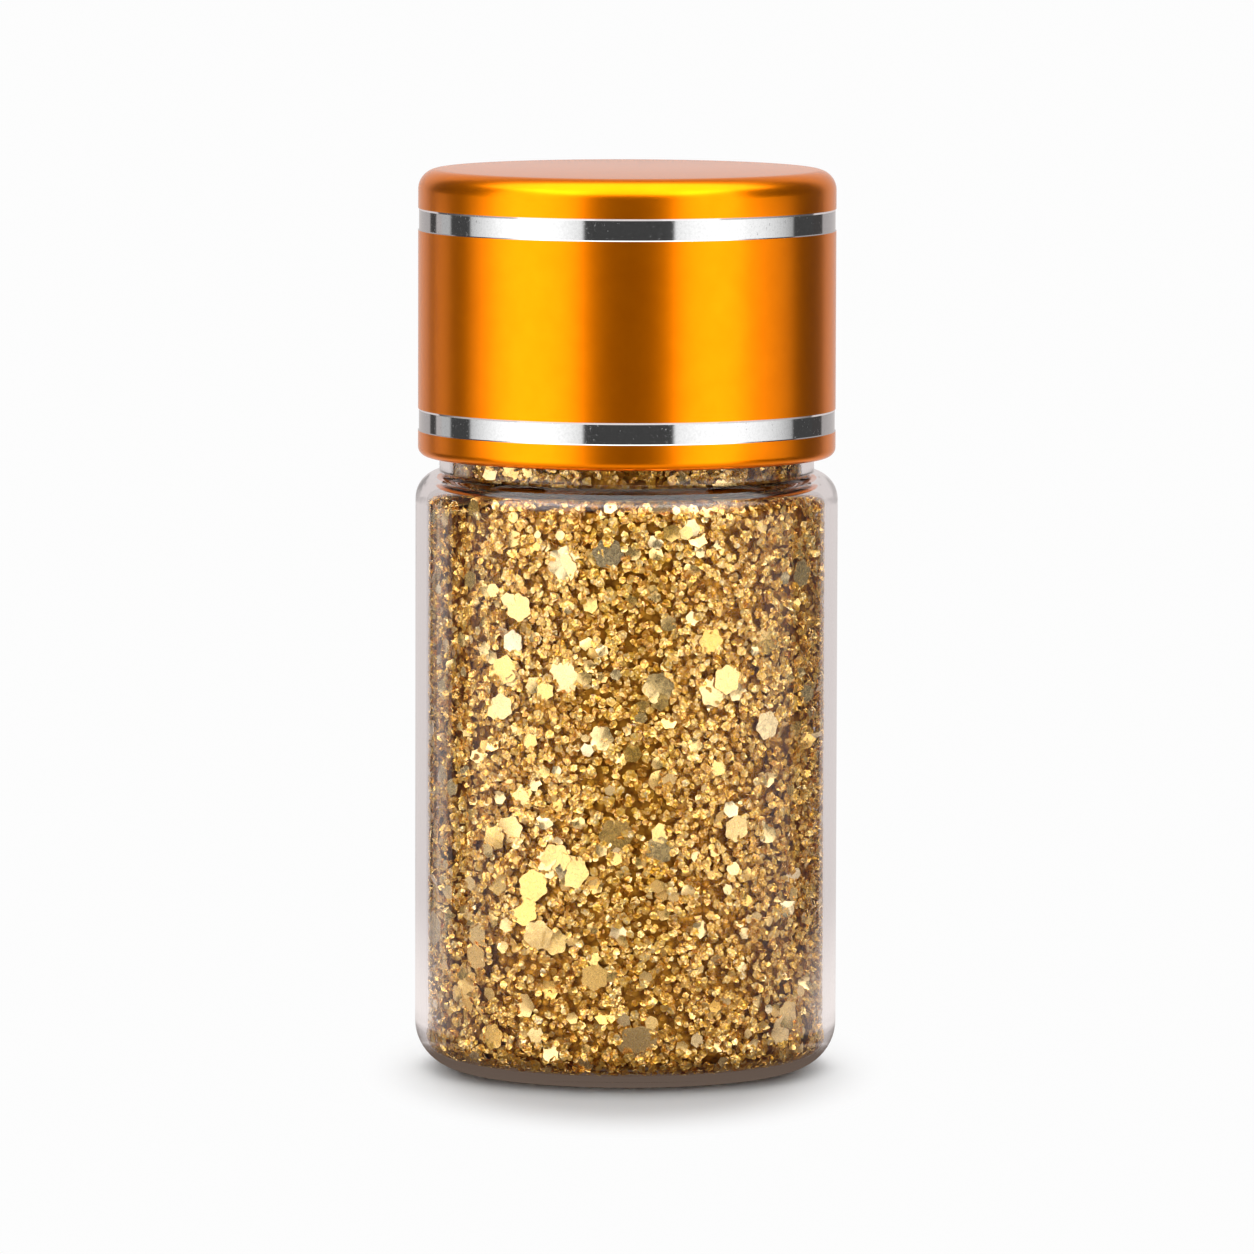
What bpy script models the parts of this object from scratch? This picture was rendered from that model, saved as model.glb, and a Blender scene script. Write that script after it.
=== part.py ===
"""A small round glass bottle of loose nail glitter with a screw cap.

Units are metres, +Z is up. The origin is on the bottle's axis at the bottom, where it stands.
The cap unscrews anticlockwise seen from above, about that axis.

How it comes apart: the cap (an anodised aluminium shell over a threaded plastic inner cap)
screws off the glass neck, the seal liner lifts off the rim, and the glitter pours out.
"""

import math

import bmesh
import bpy
from mathutils import Matrix, Vector

MM = 0.001

# Driving dimensions, in millimetres.
BODY_RADIUS = 11.5
GLASS_WALL = 0.65
GAP = 0.3  # left between pieces that touch

# Glass bottle, heights measured from the surface that it stands on.
HEEL_RADIUS = 2.56
BORE_HEEL_RADIUS = 1.5
BASE_THICKNESS = 0.65
PUSH_UP_RADIUS = 7.0
PUSH_UP_DEPTH = 0.25
SHOULDER_RADIUS = 1.53
SHOULDER_TOP = 32.7
SHOULDER_THICKNESS = 0.78
BORE_SHOULDER_SWEEP_DEG = 75
NECK_RING_RADIUS = 10.2
NECK_RING_TOP = 34.2
NECK_RING_ROUNDING = 0.3
NECK_ROOT_RADIUS = 8.9
NECK_ROOT_RISE = 0.5  # the slope from the ring in to the neck
NECK_RIM_HEIGHT = 45.8
RIM_ROUNDING = 0.25

# Screw thread, right-handed, 8 turns to the inch.
THREAD_PITCH = 3.175
THREAD_TURNS = 1.5
GLASS_THREAD_CREST_RADIUS = 9.6
GLASS_THREAD_START = 36.9
CAP_THREAD_CREST_RADIUS = 9.25
CAP_THREAD_START = GLASS_THREAD_START + THREAD_PITCH / 2
THREAD_ROOT_WIDTH = 1.25
THREAD_CREST_WIDTH = 0.55
THREAD_BURIED = 0.25  # how far the ridge reaches into the wall that carries it
THREAD_RUN_OUT_TURNS = 0.12  # the ridge fades in and out over this part of a turn
THREAD_END_SHARE = 0.15  # its height at either end, as a share of its full height

# Aluminium cap shell.
SHELL_RADIUS = 11.37
SHELL_WALL = 0.47
SHELL_BOTTOM = 33.5
SHELL_TOP = 49.1
SHELL_TOP_ROUNDING = 1.1
HEM_ROUNDING = 0.5
HEM_INNER_RADIUS = 10.55
HEM_HEIGHT = 0.9
HEM_EDGE = 0.1
HEM_FOLD_RISE = 0.05
BAND_DEPTH = 0.05
LOWER_BAND = (34.9, 36.1)
UPPER_BAND = (45.8, 47.0)

# Plastic inner cap.
RIB_DEPTH = 0.25
RIB_WIDTH = 0.9
RIB_COUNT = 18
RIB_END_INSET = 0.6
INNER_CAP_BORE_RADIUS = 9.9
INNER_CAP_ROOF = 0.9
INNER_CAP_CHAMFER = 0.3
INNER_CAP_ABOVE_HEM = 0.65

# Seal liner.
LINER_RADIUS = 9.55
LINER_THICKNESS = 1.0
LINER_EDGE = 0.15

# Glitter that fills the bottle.
FILL_TOP = 36.0

# Facets round the axis, and in each arc of an outline.
SEGMENTS = 48
SMALL_ARC_STEPS = 2
INNER_ARC_STEPS = 3
ARC_STEPS = 4
HEEL_ARC_STEPS = 6


def clear_scene():
    for old in list(bpy.data.objects):
        bpy.data.objects.remove(old)


def material(name, colour, roughness, metallic=0.0, alpha=1.0):
    made = bpy.data.materials.new(name)
    made.use_nodes = True
    shader = made.node_tree.nodes["Principled BSDF"]
    shader.inputs["Base Color"].default_value = (*colour, 1.0)
    shader.inputs["Roughness"].default_value = roughness
    shader.inputs["Metallic"].default_value = metallic
    shader.inputs["Alpha"].default_value = alpha
    made.diffuse_color = (*colour, alpha)
    return made


def arc(centre_r, centre_z, radius, start_deg, end_deg, steps=ARC_STEPS):
    """Points (r, z) of an arc, with angles measured from +r towards +z."""
    angles = [
        math.radians(start_deg + (end_deg - start_deg) * i / steps)
        for i in range(steps + 1)
    ]
    return [
        (centre_r + radius * math.cos(a), centre_z + radius * math.sin(a))
        for a in angles
    ]


def add_object(name, mesh, finish=None):
    obj = bpy.data.objects.new(name, mesh)
    bpy.context.scene.collection.objects.link(obj)
    if finish:
        mesh.materials.append(finish)
    return obj


def turned(name, outline, finish):
    """A solid turned about +Z. outline starts on the axis, runs over the top, down the outer
    side and back in along the bottom, and ends on the axis."""
    mesh = bpy.data.meshes.new(name)
    points = [(r * MM, 0.0, z * MM) for r, z in outline]
    edges = [(i, i + 1) for i in range(len(points) - 1)]
    mesh.from_pydata(points, edges, [])
    obj = add_object(name, mesh, finish)
    screw = obj.modifiers.new("Turn", "SCREW")
    screw.axis = "Z"
    screw.angle = math.tau
    screw.steps = SEGMENTS
    screw.render_steps = SEGMENTS
    screw.use_merge_vertices = True
    screw.merge_threshold = 0.00001
    screw.use_smooth_shade = True
    return obj


def thread_section(root_radius, crest_radius, share):
    """The ridge's trapezium as (r, z) about its own middle, at a share of its full height."""
    outwards = 1 if crest_radius > root_radius else -1
    buried = root_radius - outwards * THREAD_BURIED
    crest = root_radius + (crest_radius - root_radius) * share
    slope = (THREAD_ROOT_WIDTH - THREAD_CREST_WIDTH) / abs(crest_radius - root_radius)
    buried_half = (THREAD_ROOT_WIDTH + slope * THREAD_BURIED) / 2
    crest_half = (THREAD_ROOT_WIDTH - slope * abs(crest - root_radius)) / 2
    return [
        (buried, -buried_half),
        (crest, -crest_half),
        (crest, crest_half),
        (buried, buried_half),
    ]


def thread_ridge(name, root_radius, crest_radius, start_height):
    """A right-hand helical ridge, as a cutter-style helper that a Boolean joins to its wall."""
    bm = bmesh.new()
    steps = round(THREAD_TURNS * SEGMENTS)
    run_out = THREAD_RUN_OUT_TURNS * SEGMENTS
    rings = []
    for i in range(steps + 1):
        from_end = min(i, steps - i)
        share = min(1.0, THREAD_END_SHARE + from_end / run_out)
        angle = math.tau * i / SEGMENTS
        height = start_height + THREAD_PITCH * i / SEGMENTS
        rings.append(
            [
                bm.verts.new(
                    (
                        r * MM * math.cos(angle),
                        r * MM * math.sin(angle),
                        (height + z) * MM,
                    )
                )
                for r, z in thread_section(root_radius, crest_radius, share)
            ]
        )
    for low, high in zip(rings, rings[1:], strict=False):
        for k in range(4):
            bm.faces.new((low[k], low[(k + 1) % 4], high[(k + 1) % 4], high[k]))
    bm.faces.new(rings[0])
    bm.faces.new(rings[-1])
    bmesh.ops.recalc_face_normals(bm, faces=bm.faces)
    mesh = bpy.data.meshes.new(name)
    bm.to_mesh(mesh)
    bm.free()
    return as_helper(add_object(name, mesh))


def as_helper(obj):
    obj.hide_render = True
    obj.display_type = "WIRE"
    return obj


def join(obj, helper):
    union = obj.modifiers.new("Join " + helper.name, "BOOLEAN")
    union.operation = "UNION"
    union.solver = "EXACT"
    union.object = helper


def drive_ribs(name, wall_radius, bottom, top):
    """Upright ribs round the inner cap, which grip the shell. One helper holds them all."""
    bm = bmesh.new()
    depth = RIB_DEPTH + GAP
    for i in range(RIB_COUNT):
        turn = Matrix.Rotation(math.tau * (i + 0.5) / RIB_COUNT, 4, "Z")
        middle = Vector((wall_radius + RIB_DEPTH - depth / 2, 0.0, (bottom + top) / 2)) * MM
        size = Matrix.Diagonal((depth * MM, RIB_WIDTH * MM, (top - bottom) * MM, 1.0))
        bmesh.ops.create_cube(bm, size=1.0, matrix=turn @ Matrix.Translation(middle) @ size)
    mesh = bpy.data.meshes.new(name)
    bm.to_mesh(mesh)
    bm.free()
    return as_helper(add_object(name, mesh))


def bottle_bore():
    """The inside of the glass from the middle of its floor to the mouth, as (r, z)."""
    wall_radius = BODY_RADIUS - GLASS_WALL
    heel = BORE_HEEL_RADIUS
    shoulder = SHOULDER_RADIUS - GLASS_WALL
    under_shoulder = SHOULDER_TOP - SHOULDER_THICKNESS
    shoulder_z = under_shoulder - shoulder
    ring_bore = NECK_RING_RADIUS - GLASS_WALL
    neck_bore = NECK_ROOT_RADIUS - GLASS_WALL
    return [
        (0.0, BASE_THICKNESS),
        *arc(wall_radius - heel, BASE_THICKNESS + heel, heel, -90, 0),
        *arc(
            wall_radius - shoulder,
            shoulder_z,
            shoulder,
            0,
            BORE_SHOULDER_SWEEP_DEG,
            INNER_ARC_STEPS,
        ),
        (ring_bore, under_shoulder + GLASS_WALL / 2),
        (ring_bore, NECK_RING_TOP - GLASS_WALL),
        (neck_bore, NECK_RING_TOP + GLASS_WALL),
    ]


def glass_bottle(finish):
    neck_bore = NECK_ROOT_RADIUS - GLASS_WALL
    rim_out = NECK_ROOT_RADIUS - RIM_ROUNDING
    rim_in = neck_bore + RIM_ROUNDING
    rim_low = NECK_RIM_HEIGHT - RIM_ROUNDING
    shoulder_in = BODY_RADIUS - SHOULDER_RADIUS
    neck_foot_deg = math.degrees(math.acos((NECK_RING_RADIUS - shoulder_in) / SHOULDER_RADIUS))
    heel_in = BODY_RADIUS - HEEL_RADIUS
    ring_in = NECK_RING_RADIUS - NECK_RING_ROUNDING
    ring_low = NECK_RING_TOP - NECK_RING_ROUNDING
    shoulder_z = SHOULDER_TOP - SHOULDER_RADIUS
    outline = [
        *bottle_bore(),
        *arc(rim_in, rim_low, RIM_ROUNDING, 180, 90, SMALL_ARC_STEPS),
        *arc(rim_out, rim_low, RIM_ROUNDING, 90, 0, SMALL_ARC_STEPS),
        (NECK_ROOT_RADIUS, NECK_RING_TOP + NECK_ROOT_RISE),
        *arc(ring_in, ring_low, NECK_RING_ROUNDING, 90, 0, SMALL_ARC_STEPS),
        *arc(shoulder_in, shoulder_z, SHOULDER_RADIUS, neck_foot_deg, 0),
        *arc(heel_in, HEEL_RADIUS, HEEL_RADIUS, 0, -90, HEEL_ARC_STEPS),
        (PUSH_UP_RADIUS + PUSH_UP_DEPTH, 0.0),
        (PUSH_UP_RADIUS, PUSH_UP_DEPTH),
        (0.0, PUSH_UP_DEPTH),
    ]
    bottle = turned("glass_bottle", outline, finish)
    ridge = thread_ridge(
        "glass_thread_ridge",
        NECK_ROOT_RADIUS,
        GLASS_THREAD_CREST_RADIUS,
        GLASS_THREAD_START,
    )
    join(bottle, ridge)
    return bottle


def glitter_fill(finish):
    """The packed glitter, as one solid that follows the bottle's bore a gap inside it."""
    bore = bottle_bore()
    neck_bore = bore[-1][0]
    ring_bore, ring_bore_top = bore[-2]
    outline = [(0.0, FILL_TOP), (neck_bore - GAP, FILL_TOP)]
    outline.append((neck_bore - GAP, bore[-1][1]))
    outline.append((ring_bore - GAP, ring_bore_top))
    outline.append((ring_bore - GAP, bore[-3][1]))
    under_ring = bore[-4:0:-1]
    for r, z in under_ring:
        above_middle = z > FILL_TOP / 2
        outline.append((r - GAP, z - GAP if above_middle else z + GAP))
    outline.append((0.0, BASE_THICKNESS + GAP))
    return turned("glitter_fill", outline, finish)


def band_groove(low, high):
    """Points down the shell's side across one shallow bright-cut groove with sloped edges."""
    floor = SHELL_RADIUS - BAND_DEPTH
    return [
        (SHELL_RADIUS, high),
        (floor, high - BAND_DEPTH),
        (floor, low + BAND_DEPTH),
        (SHELL_RADIUS, low),
    ]


def cap_shell(finish):
    bore = SHELL_RADIUS - SHELL_WALL
    corner = SHELL_TOP_ROUNDING
    inner_corner = corner - SHELL_WALL
    hem_middle = SHELL_RADIUS - HEM_ROUNDING
    hem_top = SHELL_BOTTOM + HEM_HEIGHT
    hem_fold = (SHELL_WALL + HEM_ROUNDING) / 2
    outline = [
        (0.0, SHELL_TOP),
        *arc(SHELL_RADIUS - corner, SHELL_TOP - corner, corner, 90, 0),
        *band_groove(*UPPER_BAND),
        *band_groove(*LOWER_BAND),
        *arc(hem_middle, SHELL_BOTTOM + HEM_ROUNDING, HEM_ROUNDING, 0, -90, INNER_ARC_STEPS),
        (HEM_INNER_RADIUS, SHELL_BOTTOM + HEM_EDGE),
        (HEM_INNER_RADIUS, hem_top - HEM_EDGE),
        (bore - HEM_EDGE, hem_top + HEM_FOLD_RISE),
        (bore, hem_top + hem_fold),
        *arc(bore - inner_corner, SHELL_TOP - corner, inner_corner, 0, 90, INNER_ARC_STEPS),
        (0.0, SHELL_TOP - SHELL_WALL),
    ]
    return turned("cap_shell", outline, finish)


def inner_cap(finish):
    shell_bore = SHELL_RADIUS - SHELL_WALL
    wall_radius = shell_bore - GAP - RIB_DEPTH
    top = SHELL_TOP - SHELL_WALL - GAP
    bottom = SHELL_BOTTOM + HEM_HEIGHT + INNER_CAP_ABOVE_HEM
    chamfer = INNER_CAP_CHAMFER
    roof_under = top - INNER_CAP_ROOF
    outline = [
        (0.0, top),
        (wall_radius - chamfer, top),
        (wall_radius, top - chamfer),
        (wall_radius, bottom),
        (INNER_CAP_BORE_RADIUS + chamfer, bottom),
        (INNER_CAP_BORE_RADIUS, bottom + chamfer),
        (INNER_CAP_BORE_RADIUS, roof_under),
        (0.0, roof_under),
    ]
    cap = turned("inner_cap", outline, finish)
    ridge = thread_ridge(
        "cap_thread_ridge",
        INNER_CAP_BORE_RADIUS,
        CAP_THREAD_CREST_RADIUS,
        CAP_THREAD_START,
    )
    join(cap, ridge)
    ribs = drive_ribs(
        "inner_cap_drive_ribs",
        wall_radius,
        bottom + RIB_END_INSET,
        top - RIB_END_INSET,
    )
    join(cap, ribs)
    return cap


def seal_liner(finish):
    under = NECK_RIM_HEIGHT + GAP
    top = under + LINER_THICKNESS
    outline = [
        (0.0, top),
        (LINER_RADIUS - LINER_EDGE, top),
        (LINER_RADIUS, top - LINER_EDGE),
        (LINER_RADIUS, under + LINER_EDGE),
        (LINER_RADIUS - LINER_EDGE, under),
        (0.0, under),
    ]
    return turned("seal_liner", outline, finish)


def cap_axis():
    """An empty on the screw axis, which carries the cap's two pieces."""
    empty = bpy.data.objects.new("cap_axis", None)
    empty.empty_display_size = BODY_RADIUS * MM
    bpy.context.scene.collection.objects.link(empty)
    return empty


def build():
    clear_scene()
    glass = material("clear_glass", (0.92, 0.93, 0.93), 0.03, alpha=0.35)
    glitter = material("gold_glitter", (0.83, 0.62, 0.26), 0.3, metallic=1.0)
    anodised = material("amber_anodised_aluminium", (0.89, 0.42, 0.03), 0.3, metallic=1.0)
    plastic = material("white_polypropylene", (0.9, 0.9, 0.88), 0.45)
    foam = material("white_foam", (0.95, 0.95, 0.93), 0.7)
    glass_bottle(glass)
    glitter_fill(glitter)
    seal_liner(foam)
    axis = cap_axis()
    cap_shell(anodised).parent = axis
    inner_cap(plastic).parent = axis


build()
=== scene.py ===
"""The looks of the nail glitter bottle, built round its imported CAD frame. Metres, +Z up."""

import math
from typing import NamedTuple

import bpy
import numpy as np
from mathutils import Matrix, Vector
from mathutils.kdtree import KDTree
from mathutils.noise import noise as smooth_noise


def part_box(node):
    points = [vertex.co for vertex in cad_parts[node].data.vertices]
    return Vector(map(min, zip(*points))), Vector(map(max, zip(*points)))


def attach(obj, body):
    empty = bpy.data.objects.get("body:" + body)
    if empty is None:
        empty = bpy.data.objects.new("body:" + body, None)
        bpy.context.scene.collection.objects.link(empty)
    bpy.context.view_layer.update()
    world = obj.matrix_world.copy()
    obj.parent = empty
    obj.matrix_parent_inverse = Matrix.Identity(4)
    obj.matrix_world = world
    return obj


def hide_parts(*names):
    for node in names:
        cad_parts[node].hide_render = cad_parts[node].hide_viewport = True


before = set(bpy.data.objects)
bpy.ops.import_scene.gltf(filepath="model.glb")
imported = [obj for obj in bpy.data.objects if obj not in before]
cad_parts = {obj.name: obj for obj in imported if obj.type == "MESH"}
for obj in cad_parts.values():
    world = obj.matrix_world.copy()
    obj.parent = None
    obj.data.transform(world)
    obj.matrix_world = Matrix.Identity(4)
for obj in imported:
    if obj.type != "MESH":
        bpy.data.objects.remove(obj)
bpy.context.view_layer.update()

MM = 0.001
SEED = 20

# Sizes read from the frame.
BODY_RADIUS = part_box("glass_bottle")[1][0]
RIM_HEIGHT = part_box("glass_bottle")[1][2]
SHELL_LOW, SHELL_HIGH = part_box("cap_shell")
INNER_LOW, INNER_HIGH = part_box("inner_cap")
LINER_LOW, LINER_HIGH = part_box("seal_liner")
FILL_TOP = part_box("glitter_fill")[1][2]

# Glass bottle.
GLASS_WALL = 0.65 * MM
HEEL_RADIUS = 2.56 * MM
BORE_HEEL_RADIUS = 1.5 * MM
BASE_THICKNESS = 0.65 * MM
PUSH_UP_RADIUS = 7.0 * MM
PUSH_UP_DEPTH = 0.25 * MM
PUSH_UP_RIM_SHARE = 0.8
SHOULDER_RADIUS = 1.53 * MM
SHOULDER_TOP = 32.7 * MM
SHOULDER_THICKNESS = 0.78 * MM
NECK_RING_RADIUS = 10.2 * MM
NECK_RING_TOP = 34.2 * MM
NECK_RING_ROUNDING = 0.3 * MM
NECK_ROOT_RADIUS = 8.9 * MM
NECK_FOOT_RISE = 0.5 * MM
RIM_ROUNDING = 0.25 * MM
# Corners of the bore round the neck ring. Starts and ends are in walls' thicknesses, above the
# underside of the shoulder or from the top of the ring.
BORE_SHOULDER_DEG = 78
RING_FOOT_OUT = 0.05 * MM
RING_FOOT_START = 0.3
RING_BORE_START = 0.6
NECK_STEP_IN = 0.15 * MM
NECK_STEP_START = 0.6
NECK_STEP_END = 0.7
NECK_BORE_START = 1.2

# Threads, right-handed. The mesh rows of a threaded wall are THREAD_ROW apart.
THREAD_PITCH = 3.175 * MM
THREAD_TURNS = 1.5
THREAD_RUN_OUT = 0.12
THREAD_ROOT_WIDTH = 1.25 * MM
THREAD_CREST_WIDTH = 0.55 * MM
GLASS_THREAD_START = 36.9 * MM
GLASS_THREAD_HEIGHT = 0.7 * MM
CAP_THREAD_START = GLASS_THREAD_START + THREAD_PITCH / 2
CAP_THREAD_HEIGHT = 0.65 * MM
THREAD_ROW = 0.09 * MM

# Cap shell.
SHELL_RADIUS = SHELL_HIGH[0]
SHELL_WALL = 0.47 * MM
SHELL_TOP_ROUNDING = 1.1 * MM
HEM_ROUNDING = 0.5 * MM
HEM_INNER_RADIUS = 10.55 * MM
HEM_HEIGHT = 0.9 * MM
HEM_LOW_ROUNDING = 0.2 * MM
HEM_HIGH_ROUNDING = 0.15 * MM
HEM_FILLET_WIDTH = 0.05 * MM
HEM_FILLET_HEIGHT = 0.3 * MM
BAND_DEPTH = 0.05 * MM
BAND_SLOPE = 0.1 * MM
LOWER_BAND = (34.9 * MM, 36.1 * MM)
UPPER_BAND = (45.8 * MM, 47.0 * MM)
# How near to a band's floor and ends the middles of its faces lie, and which faces look down.
SKIN_NEARLY = 0.02 * MM
BAND_NEARLY = 0.001 * MM
FACES_DOWN = -0.1
BAND_TONE = 0.45
# A paler grey on the band's faces that look down: a painted highlight.
BAND_PAINTED_HIGHLIGHT_TONE = 0.9
BAND_MOTTLE = (-0.03, 0.02)

# Inner cap, with upright ribs where a wave round it stands above a level.
RIB_DEPTH = 0.25 * MM
RIB_COUNT = 18
RIB_LEVEL = 0.3
RIB_MARGIN = 0.5 * MM
INNER_CAP_GAP = 0.3 * MM
INNER_CAP_BORE = 9.9 * MM
INNER_CAP_ROOF = 0.9 * MM
INNER_CAP_CHAMFER = 0.3 * MM
INNER_CAP_END = 0.6 * MM
INNER_CAP_ROW = 2 * MM

# Seal liner, pressed in a little where it meets the rim.
LINER_ROUNDING = 0.15 * MM
LINER_MARK_DEPTH = 0.08 * MM

# Glitter. Flakes of each cut lie against the glass, the biggest laid first.
FLAKE_THICKNESS = 0.025 * MM
CLEAR_OF_GLASS = 0.03 * MM
CORE_INSET = 0.62 * MM
SCALLOPS = 6
COVERED_SHARE = 0.85
LET_THROUGH = 0.08
FULLER_SIDE = math.radians(200.0)
FILL_CORNER = 0.3 * MM
# Limits on a flake's size, as a share of its cut, and on its lean in radians.
SMALLEST, LARGEST = 0.6, 1.5
MOST_LEAN = 1.2
SETTLING_ROUNDS = 2
FLAKE_SHARP_DEG = 50.0
# Tones follow a beta distribution, and the deepest flakes lose this share of theirs, as painted
# shade.
TONE_SHAPE = (2.4, 1.8)
SHADE_PAINTED_WITH_DEPTH = 0.5
SEEDS_FOR_A_CORNER = 10


class Flakes(NamedTuple):
    """One cut of flake. Lengths are in metres, and count is for one piece. Spread, scallop,
    uneven and curl are shares of the radius. Depth is the usual depth under the glass, and sunk
    is how much deeper they lie in the gaps between lumps. Lopsided is the share of flakes moved
    across from the emptier side."""

    name: str
    pieces: int
    count: int
    across: float
    spread: float
    corners: int
    scallop: float
    uneven: float
    curl: float
    lean_deg: float
    depth: float
    lopsided: float
    sunk: float


LARGE = Flakes(
    name="large",
    pieces=1,
    count=120,
    across=1.50 * MM,
    spread=0.14,
    corners=36,
    scallop=0.08,
    uneven=0.02,
    curl=0.08,
    lean_deg=7.0,
    depth=0.02 * MM,
    lopsided=0.7,
    sunk=0.0,
)
MEDIUM = Flakes(
    name="medium",
    pieces=1,
    count=900,
    across=0.72 * MM,
    spread=0.22,
    corners=12,
    scallop=0.08,
    uneven=0.05,
    curl=0.20,
    lean_deg=14.0,
    depth=0.07 * MM,
    lopsided=0.6,
    sunk=0.0,
)
FINE = Flakes(
    name="fine",
    pieces=5,
    count=8000,
    across=0.40 * MM,
    spread=0.22,
    corners=6,
    scallop=0.0,
    uneven=0.14,
    curl=0.36,
    lean_deg=30.0,
    depth=0.08 * MM,
    lopsided=0.0,
    sunk=0.4 * MM,
)
# The smallest flakes lie in lumps. A gap begins where a smooth noise passes GAP_FROM.
LUMP_SIZE = 0.9 * MM
GAP_FROM = 0.1
GAP_EDGE = 0.3

# Turned meshes: points round the axis, points along an arc, and how close to the end of a
# straight run the points stand that hold its shading flat.
SEGMENTS = 192
ARC_STEPS = 10
HOLD = 0.1 * MM

# Camera and stage.
VIEW_DISTANCE = 0.589
VIEW_TILT = math.radians(5.4)
VIEW_ROLL = math.radians(0.15)
VIEW_HEIGHT = 24.1 * MM
VIEW_SIDE = 0.04 * MM
LENS_MM = 310.0
SENSOR_MM = 36.0
FLOOR_RADIUS = 0.1
BACKGROUND = 0.98
LIGHT_BOUNCES = 20
WHITE = (1.0, 1.0, 1.0, 1.0)


# ---------------------------------------------------------------- outlines and turned meshes

def arc(centre_r, centre_z, radius, start_deg, end_deg, steps=ARC_STEPS):
    """Points (r, z) of an arc, with angles measured from +r towards +z."""
    angles = np.radians(np.linspace(start_deg, end_deg, steps + 1))
    return [
        (centre_r + radius * math.cos(a), centre_z + radius * math.sin(a)) for a in angles
    ]


def straight(start, end, step):
    """Points (r, z) along a straight run, both ends included, about a step apart."""
    count = max(1, round(math.dist(start, end) / step))
    return [tuple(p) for p in np.linspace(start, end, count + 1)]


def held_flat(start, end):
    """Points close inside both ends of a straight run, so that its shading stays flat."""
    start, end = np.array(start), np.array(end)
    inwards = (end - start) / math.dist(start, end) * HOLD
    return [tuple(start + inwards), tuple(end - inwards)]


def new_piece(name, mesh, body):
    piece = bpy.data.objects.new(name, mesh)
    bpy.context.scene.collection.objects.link(piece)
    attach(piece, body)
    return piece


def turned(name, outline, body, shift=None, sharp_deg=32.0):
    """A closed solid turned about +Z from an outline of (r, z) that starts and ends on the axis
    and runs down its outer side. shift(angle, r, z) gives each point's new radius."""
    rows = np.array(outline[1:-1])
    angles = np.arange(SEGMENTS) * math.tau / SEGMENTS
    radii = np.repeat(rows[:, :1], SEGMENTS, axis=1)
    heights = np.repeat(rows[:, 1:], SEGMENTS, axis=1)
    if shift:
        radii = shift(np.broadcast_to(angles, radii.shape), radii, heights)
    grid = np.stack([radii * np.cos(angles), radii * np.sin(angles), heights], axis=-1)
    last = (len(rows) - 1) * SEGMENTS
    top_pole = len(rows) * SEGMENTS
    low_pole = top_pole + 1
    points = np.concatenate(
        [grid.reshape(-1, 3), [[0, 0, outline[0][1]], [0, 0, outline[-1][1]]]]
    )
    faces = []
    for k in range(SEGMENTS):
        after = (k + 1) % SEGMENTS
        faces.append((top_pole, k, after))
        faces.append((low_pole, last + after, last + k))
        for row in range(len(rows) - 1):
            top, low = row * SEGMENTS, (row + 1) * SEGMENTS
            faces.append((top + k, low + k, low + after, top + after))
    mesh = bpy.data.meshes.new(name)
    mesh.from_pydata([tuple(p) for p in points], [], faces)
    mesh.shade_smooth()
    mesh.set_sharp_from_angle(angle=math.radians(sharp_deg))
    return new_piece(name, mesh, body)


def eased(share):
    """A share from 0 to 1 that starts and ends gently."""
    return share * share * (3 - 2 * share)


def thread_share(angle, height, start):
    """From 0 to 1, how far a right-hand ridge stands up at each angle and height."""
    share = np.zeros_like(height)
    half_root, half_crest = THREAD_ROOT_WIDTH / 2, THREAD_CREST_WIDTH / 2
    for turn in range(math.ceil(THREAD_TURNS)):
        turns = angle / math.tau + turn
        off = np.abs(height - start - THREAD_PITCH * turns)
        flank = np.clip((half_root - off) / (half_root - half_crest), 0, 1)
        rise = np.clip(np.minimum(turns, THREAD_TURNS - turns) / THREAD_RUN_OUT, 0, 1)
        share = np.maximum(share, eased(flank) * rise)
    return share


def bore_outline():
    """The inside of the glass, as (r, z), from the middle of its floor up to the neck."""
    wall = BODY_RADIUS - GLASS_WALL
    heel = BORE_HEEL_RADIUS
    shoulder = SHOULDER_RADIUS - GLASS_WALL
    under_shoulder = SHOULDER_TOP - SHOULDER_THICKNESS
    ring_bore = NECK_RING_RADIUS - GLASS_WALL
    neck_bore = NECK_ROOT_RADIUS - GLASS_WALL
    ring_foot = (ring_bore, under_shoulder + GLASS_WALL * RING_BORE_START)
    ring_head = (ring_bore, NECK_RING_TOP - GLASS_WALL)
    return [
        (0.0, BASE_THICKNESS),
        (wall - heel - HOLD, BASE_THICKNESS),
        *arc(wall - heel, BASE_THICKNESS + heel, heel, -90, 0),
        *held_flat((wall, BASE_THICKNESS + heel), (wall, under_shoulder - shoulder)),
        *arc(wall - shoulder, under_shoulder - shoulder, shoulder, 0, BORE_SHOULDER_DEG, steps=6),
        (ring_bore + RING_FOOT_OUT, under_shoulder + GLASS_WALL * RING_FOOT_START),
        ring_foot,
        *held_flat(ring_foot, ring_head),
        ring_head,
        (ring_bore - NECK_STEP_IN, NECK_RING_TOP - GLASS_WALL * NECK_STEP_START),
        (neck_bore + NECK_STEP_IN, NECK_RING_TOP + GLASS_WALL * NECK_STEP_END),
        (neck_bore, NECK_RING_TOP + GLASS_WALL * NECK_BORE_START),
    ]


# ---------------------------------------------------------------- material helpers

def material(name):
    made = bpy.data.materials.new(name)
    made.use_nodes = True
    tree = made.node_tree
    return made, tree, tree.nodes["Principled BSDF"]


def node(tree, kind, **settings):
    """A new node, with inputs and properties set by name."""
    made = tree.nodes.new(kind)
    for key, value in settings.items():
        if key in made.inputs:
            made.inputs[key].default_value = value
        else:
            setattr(made, key, value)
    return made


def coordinates(tree):
    return tree.nodes.new("ShaderNodeTexCoord").outputs["Object"]


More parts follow.
